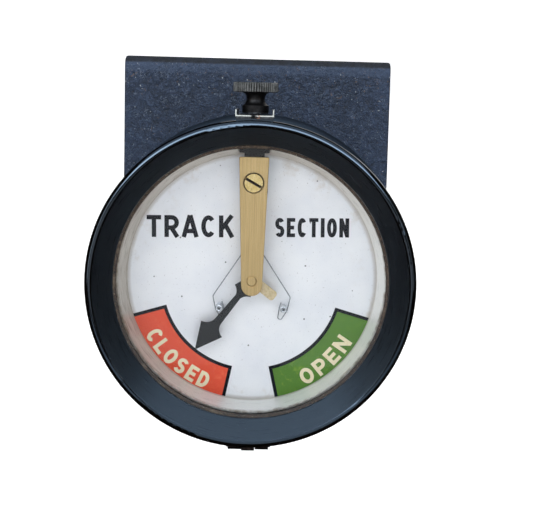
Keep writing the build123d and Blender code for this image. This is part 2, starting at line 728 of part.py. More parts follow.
with BuildPart() as bridge_bracket:
    with BuildSketch(facing(DIAL_FACE)):
        with Locations((0, (BRACKET_FOOT + BRACKET_TOP) / 2)):
            RectangleRounded(2 * BRACKET_HALF, BRACKET_TOP - BRACKET_FOOT, 1.2)
    extrude(amount=BRIDGE_REAR - DIAL_FACE)
    with BuildSketch(facing(85.8)):
        with Locations((0, 58.4)):
            Rectangle(9.4, 4.4)
        with Locations((0, 61.6)):
            RectangleRounded(14.2, 2.7, 0.5)
    extrude(amount=2.2)
    with BuildSketch(facing(BRIDGE_REAR)):
        with Locations((0, BRIDGE_SCREW_Z)):
            Circle(1.95)
    extrude(amount=-6, mode=Mode.SUBTRACT)
    with BuildSketch(facing(DIAL_FACE)):
        with Locations(*bracket_screw_spots):
            Circle(1.3)
    extrude(amount=5, mode=Mode.SUBTRACT)
save(bridge_bracket.part, "bridge_bracket")

with BuildPart() as bracket_screws:
    with BuildSketch(facing(DIAL_REAR)):
        with Locations(*bracket_screw_spots):
            Circle(2.2)
    extrude(amount=-1.4)
    with BuildSketch(facing(DIAL_REAR)):
        with Locations(*bracket_screw_spots):
            Circle(1.25)
    extrude(amount=6)
save(bracket_screws.part, "bracket_screws")

END_R, END_Z = 4.95, -2.1
BRIDGE_FRONT = BRIDGE_REAR + BRIDGE_T
with BuildPart() as bridge:
    with BuildSketch(facing(BRIDGE_REAR)):
        with BuildLine():
            top_left = Line((-END_R, END_Z), (-7.0, BRIDGE_TOP))
            Line(top_left @ 1, (7.0, BRIDGE_TOP))
            Line((7.0, BRIDGE_TOP), (END_R, END_Z))
            ThreePointArc((END_R, END_Z), (0, END_Z - END_R), (-END_R, END_Z))
        make_face()
    extrude(amount=BRIDGE_T)
    fillet(bridge.edges().filter_by(Axis.Y).group_by(Axis.Z)[-1], 0.7)
    chamfer(bridge.faces().sort_by(Axis.Y)[0].edges(), 0.2)
    with BuildSketch(facing(BRIDGE_REAR)):
        Circle(2.35)
        with Locations((0, BRIDGE_SCREW_Z)):
            Circle(2.0)
    extrude(amount=BRIDGE_T, mode=Mode.SUBTRACT)
    with BuildSketch(facing(BRIDGE_FRONT)):
        with Locations((0, BRIDGE_SCREW_Z)):
            Circle(5.0)
    extrude(amount=-1.9, taper=45, mode=Mode.SUBTRACT)
    with BuildSketch(facing(BRIDGE_FRONT)):
        Circle(2.85)
    extrude(amount=-0.4, mode=Mode.SUBTRACT)
save(bridge.part, "bridge")

SLOT_TILT = -29
with BuildPart() as bridge_screw:
    with BuildSketch(facing(BRIDGE_FRONT - 0.15)):
        with Locations((0, BRIDGE_SCREW_Z)):
            Circle(4.55)
    extrude(amount=0.5, taper=30)
    with BuildSketch(facing(BRIDGE_FRONT - 0.15)):
        with Locations((0, BRIDGE_SCREW_Z)):
            Circle(4.55)
    extrude(amount=-1.7, taper=45)
    with BuildSketch(facing(BRIDGE_FRONT - 0.5)):
        with Locations((0, BRIDGE_SCREW_Z)):
            Circle(1.9)
    extrude(amount=-7)
    with BuildSketch(facing(BRIDGE_FRONT + 0.5)):
        with Locations((0, BRIDGE_SCREW_Z)):
            Rectangle(11, 1.3, rotation=SLOT_TILT)
    extrude(amount=-1.4, mode=Mode.SUBTRACT)
save(bridge_screw.part, "bridge_screw")

with BuildPart() as front_bearing:
    with BuildSketch(facing(87.9)):
        Circle(2.3)
    extrude(amount=3.25)
    chamfer(front_bearing.faces().sort_by(Axis.Y)[0].edges(), 0.35)
    with BuildSketch(facing(87.9)):
        Circle(1 + RUN_GAP)
    extrude(amount=2.4, mode=Mode.SUBTRACT)
save(front_bearing.part, "front_bearing")

with BuildPart() as rear_bearing:
    with BuildSketch(facing(54)):
        Circle(3)
    extrude(amount=5)
    with BuildSketch(facing(PLATE_FRONT)):
        Circle(4.5)
    extrude(amount=1)
    with BuildSketch(facing(54.8)):
        Circle(SPINDLE_R + RUN_GAP)
    extrude(amount=5, mode=Mode.SUBTRACT)
save(rear_bearing.part, "rear_bearing")

# ---------------------------------------------------------------- pointer and armature
FIT = 0.02  # hand-pressed fits on the spindle
with BuildPart() as spindle:
    with BuildSketch(facing(55)):
        Circle(SPINDLE_R)
    extrude(amount=32.6)
    with BuildSketch(facing(87.6)):
        Circle(1)
    extrude(amount=2.4)
save(spindle.part, "spindle")

ARMATURE_TILT = 104.8
with BuildPart() as armature:
    with BuildSketch(facing(65)):
        Circle(12.3)
        Rectangle(30, 9, rotation=ARMATURE_TILT, mode=Mode.INTERSECT)
        Circle(4.6)
        Circle(SPINDLE_R + FIT, mode=Mode.SUBTRACT)
    extrude(amount=8)
save(armature.part, "armature")

with BuildPart() as collet:
    with BuildSketch(facing(82.6)):
        Circle(3.2)
    extrude(amount=1.4)
    with BuildSketch(facing(84)):
        Circle(2.15)
    extrude(amount=3.2)
    with BuildSketch(facing(82.6)):
        Circle(SPINDLE_R + FIT)
    extrude(amount=4.6, mode=Mode.SUBTRACT)
save(collet.part, "collet")

pointer_turn = -90 - POINTER_REST  # the pointer's direction, counted from +X
tail_turn = pointer_turn + 90  # the counterweight's direction


def pointer_plane(forward, turn):
    """Facing plane turned so that its local x runs along a hand of the pointer."""
    angle = math.radians(turn)
    return Plane(
        origin=(0, -forward, DIAL_Z),
        x_dir=(math.cos(angle), 0, math.sin(angle)),
        z_dir=(0, -1, 0),
    )


TIP, SHOULDER, SHAFT_END, NECK = 43.4, (30.6, 6.3), 25.5, (10.5, 1.4)
FAN_R, FAN_ANGLE = 8.4, math.radians(34.5)
with BuildPart() as pointer:
    with BuildSketch(pointer_plane(85.4, pointer_turn)):
        with BuildLine():
            fan = (FAN_R * math.cos(FAN_ANGLE), FAN_R * math.sin(FAN_ANGLE))
            Line((TIP, 0), SHOULDER)
            ThreePointArc(SHOULDER, (28.7, 3.1), (SHAFT_END, POINTER_HALF))
            Line((SHAFT_END, POINTER_HALF), NECK)
            ThreePointArc(NECK, (8.6, 2.4), fan)
            Line(fan, (2.6, 3.2))
            Line((2.6, 3.2), (0, 3.6))
            Line((0, 3.6), (0, 0))
            Line((0, 0), (TIP, 0))
        make_face()
        mirror(about=Plane.XZ)
        Circle(3.9)
        Circle(2.2, mode=Mode.SUBTRACT)
    extrude(amount=0.8)
save(pointer.part, "pointer")

TAIL_END, TAIL_HALF = 14.0, 2.4
with BuildPart() as counterweight:
    with BuildSketch(pointer_plane(84.05, tail_turn)):
        with Locations((TAIL_END / 2, 0)):
            RectangleRounded(TAIL_END, 2 * TAIL_HALF, 1.5)
        Circle(4.0)
        Circle(2.2, mode=Mode.SUBTRACT)
    extrude(amount=1.3)
save(counterweight.part, "counterweight")

# The balance arm behind the dial holds the pointer against its left-hand stop by gravity.
WEIGHT_ORBIT, WEIGHT_R = 13.5, 4.8
with BuildPart() as balance_arm:
    with BuildSketch(pointer_plane(74.5, tail_turn)):
        Circle(3.2)
        with Locations((WEIGHT_ORBIT / 2, 0)):
            Rectangle(WEIGHT_ORBIT, 3.2)
        with Locations((WEIGHT_ORBIT, 0)):
            Circle(WEIGHT_R)
        Circle(SPINDLE_R + FIT, mode=Mode.SUBTRACT)
    extrude(amount=4)
save(balance_arm.part, "balance_arm")

with BuildPart() as pointer_nut:
    with BuildSketch(facing(86.25)):
        RegularPolygon(3.4, 6)
        Circle(2.2, mode=Mode.SUBTRACT)
    extrude(amount=1.0)
save(pointer_nut.part, "pointer_nut")

print("pointer travel each way from rest", round(2 * POINTER_REST, 2), "degrees")
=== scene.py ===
"""Looks for the round two-position lever indicator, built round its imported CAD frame."""

import math

import bpy
from mathutils import Matrix, Vector


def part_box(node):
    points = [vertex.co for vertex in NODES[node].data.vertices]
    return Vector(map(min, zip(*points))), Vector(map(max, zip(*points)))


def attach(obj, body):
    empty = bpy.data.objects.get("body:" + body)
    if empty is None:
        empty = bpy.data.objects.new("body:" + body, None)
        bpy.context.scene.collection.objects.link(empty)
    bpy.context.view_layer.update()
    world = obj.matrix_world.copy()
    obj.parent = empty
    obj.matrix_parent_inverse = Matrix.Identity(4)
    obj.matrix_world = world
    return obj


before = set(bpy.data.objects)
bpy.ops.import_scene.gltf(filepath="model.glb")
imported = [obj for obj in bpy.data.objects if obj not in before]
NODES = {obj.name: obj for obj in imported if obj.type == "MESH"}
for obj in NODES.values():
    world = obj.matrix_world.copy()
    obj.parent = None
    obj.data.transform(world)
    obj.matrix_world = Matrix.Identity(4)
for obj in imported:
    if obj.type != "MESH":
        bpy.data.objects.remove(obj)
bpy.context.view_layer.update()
MM = 0.001

# ---------------------------------------------------------------- places taken from the CAD
dial_low, dial_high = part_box("dial_plate")
AXIS_Z = (dial_low.z + dial_high.z) / 2
DIAL_Y = dial_low.y  # the dial's front face
WALL_FOOT = 59.5 * MM  # where the reflector wall meets the dial, as a radius
CONE_OUTER = 72.8 * MM  # where the bezel's nose turns into its cone, as a radius

case_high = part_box("case_shell")[1]
CASE_SIDE = case_high.x
CASE_TOP = case_high.z - AXIS_Z  # above the dial axis

hasp_low, hasp_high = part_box("bezel_hasp")
HASP_FRONT, HASP_SIDE = hasp_low.y, hasp_high.x
HASP_TOP = hasp_low.z + 1.4 * MM  # the plate's upper face, between the two flanges
NICK_X = 0.9 * MM  # where the nick in its front edge ends on the right
SLOT_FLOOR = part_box("bridge")[0].y  # the screw's slot ends near the bridge's front face

screw_low, screw_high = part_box("thumbscrew")
SCREW_Y = (screw_low.y + screw_high.y) / 2
SCREW_TOP = screw_high.z
KNURL_R = 10.3 * MM


def tint(red, green, blue):
    """An sRGB colour, 0 to 255, as linear RGBA."""
    parts = [c / 255 for c in (red, green, blue)]
    return (*[c / 12.92 if c <= 0.04045 else ((c + 0.055) / 1.055) ** 2.4 for c in parts], 1.0)


# ---------------------------------------------------------------- node shorthand
class Look:
    """A material with short ways to build its nodes. Coordinates are row-frame metres."""

    def __init__(self, name, **constants):
        self.material = bpy.data.materials.new(name)
        self.material.use_nodes = True
        self.tree = self.material.node_tree
        self.shader = self.tree.nodes["Principled BSDF"]
        for socket, value in constants.items():
            self.shader.inputs[socket.replace("_", " ")].default_value = value

    def feed(self, socket, value):
        if isinstance(value, bpy.types.NodeSocket):
            self.tree.links.new(value, socket)
        else:
            socket.default_value = value

    def node(self, kind, links, **settings):
        made = self.tree.nodes.new("ShaderNode" + kind)
        for key, value in settings.items():
            setattr(made, key, value)
        for key, value in links.items():
            self.feed(made.inputs[key], value)
        return made

    def coords(self):
        """The point in row-frame metres."""
        return self.node("TexCoord", {}).outputs["Object"]

    def place(self, stretch=(1, 1, 1)):
        links = {"Vector": self.coords(), "Scale": stretch}
        return self.node("Mapping", links).outputs["Vector"]

    def noise(self, scale, detail=4.0, rough=0.55, warp=0.0, stretch=(1, 1, 1), vector=None):
        links = {
            "Vector": vector or self.place(stretch),
            "Scale": scale,
            "Detail": detail,
            "Roughness": rough,
            "Distortion": warp,
        }
        return self.node("TexNoise", links).outputs["Fac"]

    def cells(self, scale):
        """The distance to the nearest of many scattered points."""
        links = {"Vector": self.place(), "Scale": scale}
        return self.node("TexVoronoi", links).outputs["Distance"]

    def fade(self, value, low, high, from_=0.0, to=1.0):
        """value mapped smoothly: from_ at low, to at high."""
        links = {"Value": value, "From Min": low, "From Max": high, "To Min": from_, "To Max": to}
        return self.node("MapRange", links, interpolation_type="SMOOTHSTEP").outputs["Result"]

    def math(self, operation, first, second=0.0):
        return self.node("Math", {0: first, 1: second}, operation=operation).outputs[0]

    def xyz(self):
        split = self.node("SeparateXYZ", {"Vector": self.coords()})
        return [split.outputs[axis] for axis in "XYZ"]

    def length(self, first, second):
        """The long side of a right angle with these two short sides."""
        squares = [self.math("MULTIPLY", side, side) for side in (first, second)]
        return self.math("SQRT", self.math("ADD", *squares))

    def axes(self):
        """x, y and z of the point, z from the dial axis, and its radius from that axis."""
        x, y, z = self.xyz()
        z = self.math("SUBTRACT", z, AXIS_Z)
        return x, y, z, self.length(x, z)

    def round_axis(self, across, along):
        """Coordinates for marks that run round the dial axis."""
        x, y, z, radius = self.axes()
        turn_x = self.math("MULTIPLY", self.math("DIVIDE", x, radius), along)
        turn_z = self.math("MULTIPLY", self.math("DIVIDE", z, radius), along)
        depth = self.math("MULTIPLY", self.math("SUBTRACT", radius, y), across)
        return self.node("CombineXYZ", {"X": turn_x, "Y": depth, "Z": turn_z}).outputs[0]

    def mix(self, fac, first, second):
        made = self.node("Mix", {}, data_type="RGBA")
        self.feed(made.inputs["Factor"], fac)
        self.feed(made.inputs[6], first)
        self.feed(made.inputs[7], second)
        return made.outputs[2]

    def stain(self, base, mask, amount, color):
        """base with that much of another colour where the mask is 1."""
        return self.mix(self.math("MULTIPLY", mask, amount), base, color)

    def lines(self, scale, width, **noise):
        """Thin wandering lines: where a noise field crosses its middle value."""
        off = self.math("ABSOLUTE", self.math("SUBTRACT", self.noise(scale, **noise), 0.5))
        return self.fade(off, width * 0.4, width, 1.0, 0.0)

    def out(self, socket, value):
        self.feed(self.shader.inputs[socket], value)

    def bump(self, height, distance, strength=1.0):
        links = {"Height": height, "Distance": distance, "Strength": strength}
        self.out("Normal", self.node("Bump", links).outputs["Normal"])


LOOKS = {}


def painted_case():
    """Old black japanning: wrinkled, with pale hairs and chips, and brown specks; a painted
    highlight band below the top bend and a painted dark reflection along the bend itself.
    """
    look = Look("japanned_sheet", Specular_IOR_Level=0.28)
    x, _, z, _ = look.axes()
    broad = look.noise(24, detail=3)
    mottled = look.noise(300, detail=5, rough=0.55, warp=1.0)
    base = look.mix(look.fade(broad, 0.35, 0.7), tint(28, 39, 59), tint(42, 55, 79))
    base = look.mix(look.fade(mottled, 0.5, 0.72, 0, 0.7), base, tint(62, 76, 102))
    base = look.mix(look.fade(mottled, 0.46, 0.32, 0, 0.6), base, tint(17, 22, 33))
    fine = look.noise(720, detail=2, warp=2.0)
    base = look.mix(look.fade(fine, 0.52, 0.66, 0, 0.5), base, tint(74, 90, 120))
    base = look.mix(look.fade(fine, 0.46, 0.34, 0, 0.6), base, tint(16, 21, 32))
    hair_mask = look.fade(look.noise(230, detail=1), 0.55, 0.64)
    hairs = look.math("MULTIPLY", look.lines(430, 0.022, detail=1, warp=1.5), hair_mask)
    base = look.stain(base, hairs, 0.75, tint(136, 148, 168))
    toward_right = look.fade(x, -0.05, CASE_SIDE - 0.001, 0.0, 0.018)
    toward_top = look.fade(z, CASE_TOP - 0.025, CASE_TOP, 0.0, 0.04)
    shift = look.math("ADD", toward_right, toward_top)
    rust = look.fade(look.math("ADD", look.noise(560, detail=3, rough=0.6), shift), 0.68, 0.72)
    base = look.stain(base, rust, 0.8, tint(98, 80, 72))
    chips = look.fade(look.noise(640, detail=1), 0.725, 0.76)
    base = look.stain(base, chips, 0.9, tint(176, 182, 188))
    # painted highlight: a lighter blue band where the front face starts to bend back at the top
    painted_highlight_band = look.fade(z, CASE_TOP - 0.0085, CASE_TOP - 0.0065, 0, 0.4)
    base = look.mix(painted_highlight_band, base, tint(74, 90, 118))
    # painted dark reflection: the top few millimetres, round the bend, darkened brown-black with
    # uneven strength
    top = look.fade(z, CASE_TOP - 0.0038, CASE_TOP - 0.0024)
    top_reflection_breakup = look.fade(look.noise(330, detail=5), 0.36, 0.6, 0.8, 0.95)
    base = look.mix(look.math("MULTIPLY", top, top_reflection_breakup), base, tint(26, 22, 22))
    side = look.fade(look.math("ABSOLUTE", x), CASE_SIDE - 0.0015, CASE_SIDE - 0.0003)
    worn_side = look.math("MULTIPLY", side, look.fade(look.noise(240, detail=5), 0.48, 0.62))
    base = look.stain(base, worn_side, 0.3, tint(84, 72, 66))
    look.out("Base Color", base)
    rough = look.fade(mottled, 0.3, 0.75, 0.36, 0.55)
    look.out("Roughness", look.math("ADD", rough, look.math("MULTIPLY", top, 0.3)))
    dents = look.math("ADD", look.math("MULTIPLY", hairs, -0.5), look.noise(1100, detail=3))
    coarse, close = look.math("MULTIPLY", mottled, 2.5), look.math("MULTIPLY", fine, 1.5)
    wrinkles = look.math("ADD", coarse, close)
    look.bump(look.math("ADD", dents, wrinkles), 0.0005, 0.8)
    return look.material


def enamel(name, base, rough, streaks, bump, level):
    """Deep black stove enamel, polished round the axis, with dust and fine scratches."""
    look = Look(name, Specular_IOR_Level=level, Specular_Tint=(0.66, 0.82, 1.0, 1.0))
    turned = look.round_axis(2600, 5)
    grain = look.noise(1, detail=4, vector=turned)
    patches = look.noise(50, detail=3)
    dust = look.fade(look.noise(1700, detail=1), 0.75, 0.785)
    color = look.mix(look.fade(grain, 0.5, 0.75, 0, streaks), base, tint(56, 62, 74))
    color = look.mix(look.fade(patches, 0.55, 0.8, 0, 0.3), color, tint(14, 9, 6))
    color = look.stain(color, dust, 0.5, tint(104, 104, 104))
    look.out("Base Color", color)
    _, _, _, radius = look.axes()
    brushed = look.fade(radius, CONE_OUTER + 0.0002, CONE_OUTER - 0.0004, 0, 0.2)
    satin = look.math("ADD", look.fade(grain, 0.3, 0.75, rough, rough + 0.1), brushed)
    look.out("Roughness", satin)
    ridges = look.math("MULTIPLY", grain, look.math("ADD", brushed, 0.05))
    raised = look.math("MULTIPLY", dust, 0.5)
    look.bump(look.math("ADD", look.math("MULTIPLY", ridges, 8), raised), bump, 0.5)
    return look.material


def metal(name, base, dark, rough, stretch, tarnish=0.3, pitting=0.7, metallic=1.0):
    """Bare metal, brushed along the axis that stretch leaves coarse, lightly tarnished."""
    look = Look(name, Metallic=metallic)
    grain = look.noise(1, detail=5, rough=0.65, stretch=stretch)
    cloud = look.noise(160, detail=5, rough=0.6)
    pits = look.fade(look.noise(1300, detail=3), 0.68, 0.74)
    color = look.mix(look.fade(grain, 0.3, 0.7), dark, base)
    color = look.mix(look.fade(cloud, 0.45, 0.75, 0, tarnish), color, dark)
    color = look.stain(color, pits, pitting, tint(60, 48, 38))
    look.out("Base Color", color)
    look.out("Roughness", look.fade(grain, 0.25, 0.75, rough + 0.12, rough - 0.06))
    look.bump(look.math("ADD", grain, look.math("MULTIPLY", pits, -0.8)), 0.00004, 0.6)
    return look.material


def dial_enamel():
    """White dial paint: faintly cloudy, specked black, foxed brown towards the wall."""
    look = Look("dial_white_enamel", Specular_IOR_Level=0.4)
    _, _, _, radius = look.axes()
    cloud = look.noise(40, detail=4)
    base = look.mix(look.fade(cloud, 0.3, 0.7), tint(230, 232, 237), tint(240, 241, 243))
    edge = look.fade(radius, WALL_FOOT - 0.0135, WALL_FOOT)
    foxing = look.math("MULTIPLY", edge, look.fade(look.noise(95, detail=6, rough=0.65), 0.5, 0.72))
    base = look.stain(base, foxing, 0.5, tint(188, 168, 142))
    rim = look.fade(radius, WALL_FOOT - 0.0021, WALL_FOOT - 0.0003)
    base = look.stain(base, rim, 0.45, tint(150, 136, 116))
    fine = look.fade(look.noise(1640, detail=1), 0.73, 0.765)
    base = look.stain(base, fine, 0.7, tint(112, 96, 86))
    spot = look.fade(look.cells(117), 0.055, 0.037)
    base = look.stain(base, spot, 0.85, tint(44, 36, 34))
    look.out("Base Color", base)
    look.out("Roughness", look.fade(cloud, 0.3, 0.7, 0.42, 0.55))
    look.bump(look.noise(600, detail=3), 0.00006, 0.35)
    return look.material


def printed(name, base, worn, spotted=0.0, nicked=0.6, level=0.4):
    """Sign-writer's enamel paint, thin in places."""
    look = Look(name, Specular_IOR_Level=level)
    brush = look.noise(420, detail=5, rough=0.65)
    color = look.mix(look.fade(brush, 0.52, 0.78), base, worn)
    if spotted:
        blots = look.fade(look.noise(170, detail=4), 0.62, 0.7)
        color = look.stain(color, blots, spotted, worn)
    nicks = look.fade(look.noise(1900, detail=2), 0.71, 0.76)
    color = look.stain(color, nicks, nicked, tint(212, 208, 200))
    look.out("Base Color", color)
    look.out("Roughness", look.fade(brush, 0.3, 0.7, 0.38, 0.55))
    look.bump(brush, 0.00005, 0.4)
    return look.material


def reflector_wall():
    """Pale satin wall round the dial, streaked round the axis and grubby at its foot, with painted
    shade on its left and top and painted light on its right and bottom.
    """
    look = Look("reflector_wall", Metallic=0.15)
    streak = look.noise(1, detail=4, vector=look.round_axis(1500, 9))
    x, y, z, _ = look.axes()
    # painted light and shade: darker towards the left and top, lighter towards the right and bottom
    painted_light_and_shade = look.fade(look.math("SUBTRACT", x, z), -0.045, 0.07)
    base = look.mix(painted_light_and_shade, tint(176, 167, 155), tint(240, 239, 234))
    base = look.mix(look.fade(streak, 0.35, 0.72, 0, 0.4), base, tint(236, 233, 226))
    foot = look.fade(y, DIAL_Y - 0.0016, DIAL_Y - 0.0002)
    base = look.stain(base, foot, 0.5, tint(150, 136, 112))
    lip = look.fade(y, DIAL_Y - 0.0075, DIAL_Y - 0.0092)
    grime = look.math("MULTIPLY", lip, look.fade(look.noise(210, detail=6), 0.4, 0.65, 0.2, 1.0))
    base = look.stain(base, grime, 0.7, tint(120, 98, 70))
    specks = look.fade(look.noise(1200, detail=2), 0.71, 0.76)
    base = look.stain(base, specks, 0.6, tint(88, 72, 58))
    look.out("Base Color", base)
    look.out("Roughness", look.fade(streak, 0.3, 0.7, 0.26, 0.42))
    look.bump(streak, 0.00005, 0.5)
    return look.material


def old_putty():
    """Dirty brown glazing putty: dark, with coarse pale grains."""
    look = Look("glazing_putty", Specular_IOR_Level=0.3)
    grit = look.noise(1500, detail=5, rough=0.7)
    broad = look.noise(140, detail=4)
    base = look.mix(look.fade(grit, 0.38, 0.68), tint(30, 24, 20), tint(92, 74, 60))
    base = look.mix(look.fade(broad, 0.55, 0.75, 0, 0.5), base, tint(128, 112, 92))
    grains = look.fade(look.noise(2100, detail=1), 0.68, 0.72)
    base = look.stain(base, grains, 0.8, tint(186, 172, 150))
    look.out("Base Color", base)
    look.out("Roughness", look.fade(grit, 0.3, 0.7, 0.6, 0.9))
    look.bump(look.math("ADD", grit, grains), 0.0004, 0.9)
    return look.material


def clear_glass():
    """Clear sheet glass: a mirror where it reflects, open elsewhere, faintly dusty."""
    look = Look("window_glass", Metallic=1.0, Roughness=0.03)
    look.shader.inputs["Base Color"].default_value = tint(250, 252, 252)
    fresnel = look.node("Fresnel", {"IOR": 1.5}).outputs["Fac"]
    dust = look.fade(look.noise(1400, detail=2), 0.66, 0.8, 0.0, 0.03)
    look.out("Alpha", look.math("ADD", look.math("MULTIPLY", fresnel, 0.3), dust))
    return look.material


def moulded(name, base, rough):
    """Moulded insulation, faintly cloudy."""
    look = Look(name, Specular_IOR_Level=0.5)
    cloud = look.noise(220, detail=5)
    look.out("Base Color", look.mix(look.fade(cloud, 0.4, 0.75), base, tint(70, 58, 48)))
    look.out("Roughness", look.fade(cloud, 0.3, 0.7, rough, rough + 0.2))
    look.bump(look.noise(1600, detail=3), 0.00004, 0.5)
    return look.material


def cotton_winding():
    """Green cotton-covered wire, in turns that follow one another up the coil."""
    look = Look("cotton_covered_wire", Specular_IOR_Level=0.2, Sheen_Weight=0.3)
    turns = look.noise(1, detail=1, stretch=(120, 120, 2600))
    base = look.mix(look.fade(turns, 0.35, 0.65), tint(44, 58, 34), tint(104, 118, 76))
    look.out("Base Color", base)
    look.out("Roughness", look.fade(turns, 0.3, 0.7, 0.9, 0.7))
    look.bump(turns, 0.0003, 0.9)
    return look.material


def worn_hasp():
    """Dark oxidised steel, rubbed bright along the front edges, rusty at the nick."""
    look = Look("worn_hasp_steel", Metallic=0.8)
    x, y, z = look.xyz()
    cloud = look.noise(500, detail=5, rough=0.65)
    base = look.mix(look.fade(cloud, 0.35, 0.7), tint(38, 37, 38), tint(84, 84, 86))
    front = look.fade(y, HASP_FRONT + 0.0009, HASP_FRONT + 0.0005)
    above = look.fade(z, HASP_TOP - 0.0006, HASP_TOP - 0.0004)
    outer = look.fade(look.math("ABSOLUTE", x), HASP_SIDE - 0.0006, HASP_SIDE - 0.0004)
    strip = look.math("MULTIPLY", above, look.fade(z, HASP_TOP + 0.0003, HASP_TOP + 0.0001))
    edges = look.math("MAXIMUM", strip, look.math("MULTIPLY", above, outer))
    front_edges = look.math("MULTIPLY", front, edges)
    rubbed = look.math("MULTIPLY", front_edges, look.fade(cloud, 0.3, 0.5, 0.5, 0.9))
    base = look.mix(rubbed, base, tint(214, 212, 202))
    near = look.fade(look.math("ABSOLUTE", look.math("SUBTRACT", x, NICK_X)), 0.0022, 0.0008)
    rust = look.math("MULTIPLY", look.math("MULTIPLY", near, front), look.fade(cloud, 0.4, 0.55))
    base = look.mix(rust, base, tint(176, 112, 74))
    look.out("Base Color", base)
    look.out("Roughness", look.fade(cloud, 0.3, 0.7, 0.5, 0.38))
    look.bump(look.noise(1400, detail=5), 0.0001, 0.7)
    return look.material


def slotted_brass():
    """Bright screw brass with painted shade deep in its slot."""
    look = Look("slotted_brass", Metallic=1.0)
    _, y, _, _ = look.axes()
    grain = look.noise(1, detail=4, stretch=(900, 400, 500))
    cloud = look.noise(700, detail=4)
    color = look.mix(look.fade(grain, 0.3, 0.7), tint(226, 196, 122), tint(250, 228, 168))
    color = look.mix(look.fade(cloud, 0.55, 0.75, 0, 0.5), color, tint(150, 120, 70))
    # painted shade: the deep part of the slot, near the bridge, darkened to a near-black brown
    painted_slot_shade = look.fade(y, SLOT_FLOOR - 0.0004, SLOT_FLOOR - 0.0001)
    color = look.mix(painted_slot_shade, color, tint(34, 24, 14))
    look.out("Base Color", color)
    look.out("Roughness", look.fade(grain, 0.25, 0.75, 0.36, 0.24))
    look.bump(grain, 0.00004, 0.6)
    return look.material


def knurled_steel():
    """Dark oxidised steel with brown grime, rubbed bright on its edges and crown."""
    look = Look("oxidised_knurled_steel", Metallic=0.9)
    x, y, z = look.xyz()
    radius = look.length(x, look.math("SUBTRACT", y, SCREW_Y))
    cloud = look.noise(420, detail=6, rough=0.65)
    base = look.mix(look.fade(cloud, 0.35, 0.7), tint(27, 25, 25), tint(50, 48, 47))
    tips = look.fade(radius, KNURL_R - 0.0004, KNURL_R)
    crown = look.fade(z, SCREW_TOP - 0.0009, SCREW_TOP - 0.0001)
    proud = look.math("MAXIMUM", tips, crown)
    rubbed = look.math("MULTIPLY", proud, look.fade(cloud, 0.35, 0.6, 0.3, 0.8))
    base = look.mix(rubbed, base, tint(128, 126, 122))
    grime = look.fade(look.noise(900, detail=4), 0.6, 0.7)
    base = look.stain(base, grime, 0.7, tint(58, 44, 34))
    look.out("Base Color", base)
    look.out("Roughness", look.fade(cloud, 0.3, 0.7, 0.5, 0.36))
    look.bump(look.noise(1400, detail=5), 0.0001, 0.7)
    return look.material


LOOKS["case"] = painted_case()
LOOKS["bezel"] = enamel("stove_enamel", tint(5, 3, 2), 0.07, 0.04, 0.00002, 0.85)
LOOKS["drum"] = enamel("drum_enamel", tint(18, 23, 31), 0.42, 0.25, 0.00003, 0.28)
LOOKS["dial"] = dial_enamel()
LOOKS["wall"] = reflector_wall()
LOOKS["putty"] = old_putty()
LOOKS["glass"] = clear_glass()
LOOKS["knurled"] = knurled_steel()
LOOKS["screw_brass"] = slotted_brass()
LOOKS["worn_steel"] = worn_hasp()

EVEN = (900, 900, 900)
for key, name, base, dark, rough, stretch, extra in (
    ("bridge", "bridge_brass", (214, 184, 132), (180, 149, 97), 0.4, (8000, 900, 45),
     {"tarnish": 0.15, "pitting": 0.3}),
    ("silver", "bright_posts", (236, 238, 240), (170, 172, 176), 0.3, EVEN, {"metallic": 0.7}),
    ("brass", "turned_brass", (206, 178, 118), (132, 108, 64), 0.34, (1400, 1400, 1400), {}),
    ("pale_brass", "nickelled_brass", (222, 202, 164), (200, 178, 138), 0.42, (900, 500, 900),
     {"tarnish": 0.1, "pitting": 0.1}),
    ("steel", "plated_steel", (176, 176, 174), (112, 110, 106), 0.34, EVEN, {}),
    ("hinge", "rusted_hinge", (56, 46, 42), (24, 20, 20), 0.5, EVEN, {"tarnish": 0.6}),
    ("wire", "spring_wire", (170, 174, 178), (112, 114, 116), 0.32, EVEN, {}),
    ("iron", "soft_iron", (110, 106, 102), (62, 58, 54), 0.45, (1200, 300, 1200),
     {"tarnish": 0.6}),
):
    LOOKS[key] = metal(name, tint(*base), tint(*dark), rough, stretch, **extra)

LOOKS["pointer"] = printed("pointer_black", tint(14, 14, 17), tint(34, 34, 38), nicked=0.2)
LOOKS["ebonite"] = moulded("ebonite", tint(26, 22, 20), 0.3)
LOOKS["winding"] = cotton_winding()
LOOKS["black"] = printed(
    "legend_black", tint(6, 7, 18), tint(18, 20, 36), nicked=0.15, level=0.15
)
LOOKS["red"] = printed("sector_red", tint(229, 72, 30), tint(240, 110, 66), 0.5)
LOOKS["green"] = printed("sector_green", tint(78, 126, 22), tint(124, 160, 44), 0.6)
LOOKS["cream"] = printed("legend_cream", tint(240, 226, 190), tint(226, 204, 158))

